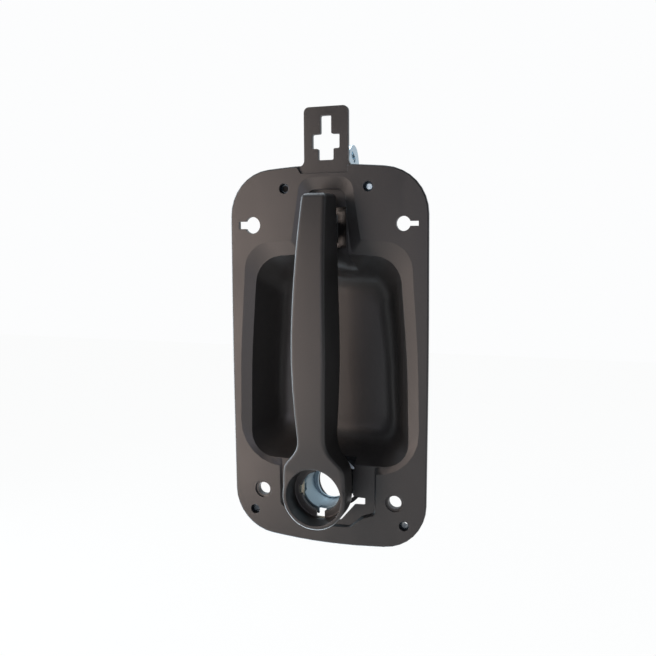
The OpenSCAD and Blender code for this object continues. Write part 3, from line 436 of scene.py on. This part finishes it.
def dressed_copy(name, piece_name, levels):
    """A merged copy of a CAD part in the same place, which stands for it."""
    mesh = nodes[name].data.copy()
    mesh.name = piece_name
    work = bmesh.new()
    work.from_mesh(mesh)
    bmesh.ops.remove_doubles(work, verts=work.verts, dist=2e-6)
    bmesh.ops.dissolve_degenerate(work, edges=work.edges, dist=1e-7)
    if not levels:
        bmesh.ops.dissolve_limit(work, angle_limit=math.radians(0.15), verts=work.verts, edges=work.edges,
                                 delimit={"NORMAL"})
    work.to_mesh(mesh)
    work.free()
    mesh.normals_split_custom_set([(0, 0, 0)] * len(mesh.loops))
    mesh.polygons.foreach_set("use_smooth", [True] * len(mesh.polygons))
    mesh.set_sharp_from_angle(angle=math.radians(smooth_below))
    if name in crisp_planes:
        mark_plane_edges(mesh, crisp_planes[name])
    mesh.materials.clear()
    mesh.materials.append(finish_of[name])
    piece = bpy.data.objects.new(piece_name, mesh)
    scene.collection.objects.link(piece)
    if levels:
        rounding = piece.modifiers.new("rounder_wire", "SUBSURF")
        rounding.levels = levels
        rounding.render_levels = levels
    else:
        weighting = piece.modifiers.new("even_shading", "WEIGHTED_NORMAL")
        weighting.keep_sharp = True
        weighting.weight = 60
    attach(piece, body_of[name])
    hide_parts(name)


for node_name in sorted(nodes):
    dressed_copy(node_name, node_name + "_piece", levels=1 if node_name.endswith("return_spring") else 0)


# Small loose things beside the ring: a dark strip set as painted shade, and the spring's wire end
def finished_piece(name, mesh, finish, body):
    """Shades a finished mesh smooth, gives it its finish and fixes it to a body."""
    mesh.polygons.foreach_set("use_smooth", [True] * len(mesh.polygons))
    mesh.set_sharp_from_angle(angle=math.radians(40))
    mesh.materials.append(finish)
    piece = bpy.data.objects.new(name, mesh)
    scene.collection.objects.link(piece)
    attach(piece, body)


def shade_strip(name, low, high, bevel, body):
    """A dark strip with soft edges, between two opposite corners, set as painted shade."""
    work = bmesh.new()
    bmesh.ops.create_cube(work, size=1.0)
    bmesh.ops.scale(work, vec=[b - a for a, b in zip(low, high)], verts=work.verts)
    bmesh.ops.translate(work, vec=[(a + b) / 2 for a, b in zip(low, high)], verts=work.verts)
    bmesh.ops.bevel(work, geom=work.edges[:], offset=bevel, segments=3, profile=0.5, affect="EDGES",
                    material=-1)
    mesh = bpy.data.meshes.new(name)
    work.to_mesh(mesh)
    work.free()
    finished_piece(name, mesh, bumper_rubber, body)


def wire_end(name, points, radius, body):
    """A round wire pulled through these points from a closed disc, with closed ends."""
    path = [Vector(point) for point in points]
    steps = [after - before for before, after in zip(path, path[1:])]
    work = bmesh.new()
    facing = steps[0].to_track_quat("Z", "Y").to_matrix().to_4x4()
    bmesh.ops.create_circle(work, cap_ends=True, segments=16, radius=radius,
                            matrix=Matrix.Translation(path[0]) @ facing)
    tip = work.faces[:]
    for count, step in enumerate(steps):
        grown = bmesh.ops.extrude_face_region(work, geom=tip)["geom"]
        if count:
            bmesh.ops.delete(work, geom=tip, context="FACES_ONLY")
        tip = [part for part in grown if isinstance(part, bmesh.types.BMFace)]
        corners = [part for part in grown if isinstance(part, bmesh.types.BMVert)]
        bmesh.ops.translate(work, vec=step, verts=corners)
    bmesh.ops.recalc_face_normals(work, faces=work.faces)
    mesh = bpy.data.meshes.new(name)
    work.to_mesh(mesh)
    work.free()
    finished_piece(name, mesh, wire_painted_sheen, body)


# Painted shade: a dark strip behind the gap right of the ring.
shade_strip("bracket_shade_strip", (0.0060, 0.0146, -0.0774), (0.0245, 0.0164, -0.0688), 0.0004, "housing")
wire_points = [(0.0104, 0.001, -0.0711), (0.01165, 0.001, -0.0722),
               (0.01835, 0.001, -0.0782), (0.0194, 0.001, -0.0791)]
wire_end("return_spring_wire_end", wire_points, 0.00095, "housing")


# Floor, light and camera
def pale_floor():
    work = bmesh.new()
    bmesh.ops.create_grid(work, x_segments=1, y_segments=1, size=3.0)
    bmesh.ops.translate(work, verts=work.verts, vec=(0, 0, cad_box[0][2] - floor_drop))
    mesh = bpy.data.meshes.new("pale_floor")
    work.to_mesh(mesh)
    work.free()
    floor = bpy.data.objects.new("pale_floor", mesh)
    scene.collection.objects.link(floor)
    material = bpy.data.materials.new("pale_floor")
    material.use_nodes = True
    material.node_tree.nodes.clear()
    tree = Tree(material.node_tree)
    matte = tree.add("ShaderNodeBsdfDiffuse", {"Color": rgb(0.9, 0.9, 0.9)})
    paper = tree.add("ShaderNodeEmission", {"Color": rgb(0.995, 1, 1), "Strength": 1.0})
    path = tree.add("ShaderNodeLightPath").outputs
    seen = tree.math("MAXIMUM", path["Is Camera Ray"], tree.math("MAXIMUM", path["Is Glossy Ray"],
                                                                 path["Is Transmission Ray"]))
    mixed = tree.add("ShaderNodeMixShader", {0: tree.math("MULTIPLY", seen, 0.965), 1: matte.outputs[0],
                                             2: paper.outputs[0]})
    tree.add("ShaderNodeOutputMaterial", {"Surface": mixed.outputs[0]})
    mesh.materials.append(material)


def soft_box(name, towards, distance, width, height, radiance, colour):
    """An area lamp that faces the handle; its power follows from the radiance of its face."""
    lamp = bpy.data.lights.new(name, "AREA")
    lamp.shape = "RECTANGLE"
    lamp.size = width
    lamp.size_y = height
    lamp.energy = radiance * math.pi * width * height
    lamp.color = colour
    place = bpy.data.objects.new(name, lamp)
    scene.collection.objects.link(place)
    ray = Vector(towards).normalized()
    place.location = ray * distance + Vector((0, 0, lamp_aim_z))
    place.rotation_euler = (-ray).to_track_quat("-Z", "Y").to_euler()
    place.visible_camera = False


def studio_world():
    world = bpy.data.worlds.new("studio")
    scene.world = world
    world.use_nodes = True
    world.node_tree.nodes.clear()
    tree = Tree(world.node_tree)
    path = tree.add("ShaderNodeLightPath").outputs
    direction = tree.add("ShaderNodeTexCoord").outputs["Generated"]
    aim = tree.add("ShaderNodeSeparateXYZ", {"Vector": direction}).outputs
    behind = tree.spread(aim["Y"], -0.3, 0.45, 0.12, 1.0)
    leftward = tree.spread(aim["X"], 0.15, -0.45, 0.0, 0.55)
    shown = tree.math("MINIMUM", tree.math("ADD", behind, leftward), 1.0)
    mirrored = tree.add("ShaderNodeBackground", {"Color": rgb(0.90, 0.95, 1.0), "Strength": shown})
    soft = tree.add("ShaderNodeBackground", {"Color": rgb(0.82, 0.88, 1.0), "Strength": 0.13})
    seen = tree.add("ShaderNodeBackground", {"Color": rgb(0.975, 0.98, 0.985), "Strength": 1.0})
    bright = tree.math("MAXIMUM", path["Is Glossy Ray"], path["Is Transmission Ray"])
    first = tree.add("ShaderNodeMixShader", {0: bright, 1: soft.outputs[0], 2: mirrored.outputs[0]})
    second = tree.add("ShaderNodeMixShader", {0: path["Is Camera Ray"], 1: first.outputs[0],
                                              2: seen.outputs[0]})
    tree.add("ShaderNodeOutputWorld", {"Surface": second.outputs[0]})


def photo_camera():
    """The camera fitted to the photograph's outline."""
    yaw, pitch, roll = math.radians(18.877), math.radians(6.73), math.radians(-0.341)
    ahead = Vector((-math.sin(yaw) * math.cos(pitch), math.cos(yaw) * math.cos(pitch), -math.sin(pitch)))
    level = Vector((math.cos(yaw), math.sin(yaw), 0))
    above = level.cross(ahead)
    right = math.cos(roll) * level + math.sin(roll) * above
    up = -math.sin(roll) * level + math.cos(roll) * above
    lens = bpy.data.cameras.new("photo_camera")
    lens.lens = 41.16
    lens.sensor_width = 36
    lens.clip_start = 0.01
    camera = bpy.data.objects.new("photo_camera", lens)
    scene.collection.objects.link(camera)
    turn = Matrix((right, up, -ahead)).transposed()
    camera.matrix_world = Matrix.Translation((0.17004, -0.49586, 0.08366)) @ turn.to_4x4()
    scene.camera = camera


pale_floor()
studio_world()
soft_box("left_soft_box", (-0.62, -0.78, -0.03), 0.46, 0.19, 0.56, 5.3, (1.0, 0.80, 0.70))
soft_box("front_soft_box", (0.21, -0.97, 0.04), 1.2, 0.60, 0.60, 2.6, (0.90, 0.88, 1.0))
soft_box("top_soft_box", (-0.15, 0.45, 1.0), 1.2, 1.0, 0.8, 5.0, (0.80, 0.91, 1.0))
soft_box("back_soft_box", (-1.0, 0.10, 0.0), 1.2, 0.55, 1.5, 9.0, (0.76, 0.89, 1.0))
soft_box("low_soft_box", (-0.38, 0.30, -0.88), 0.44, 0.40, 0.34, 7.0, (0.76, 0.89, 1.0))
photo_camera()
scene.view_settings.view_transform = "Standard"
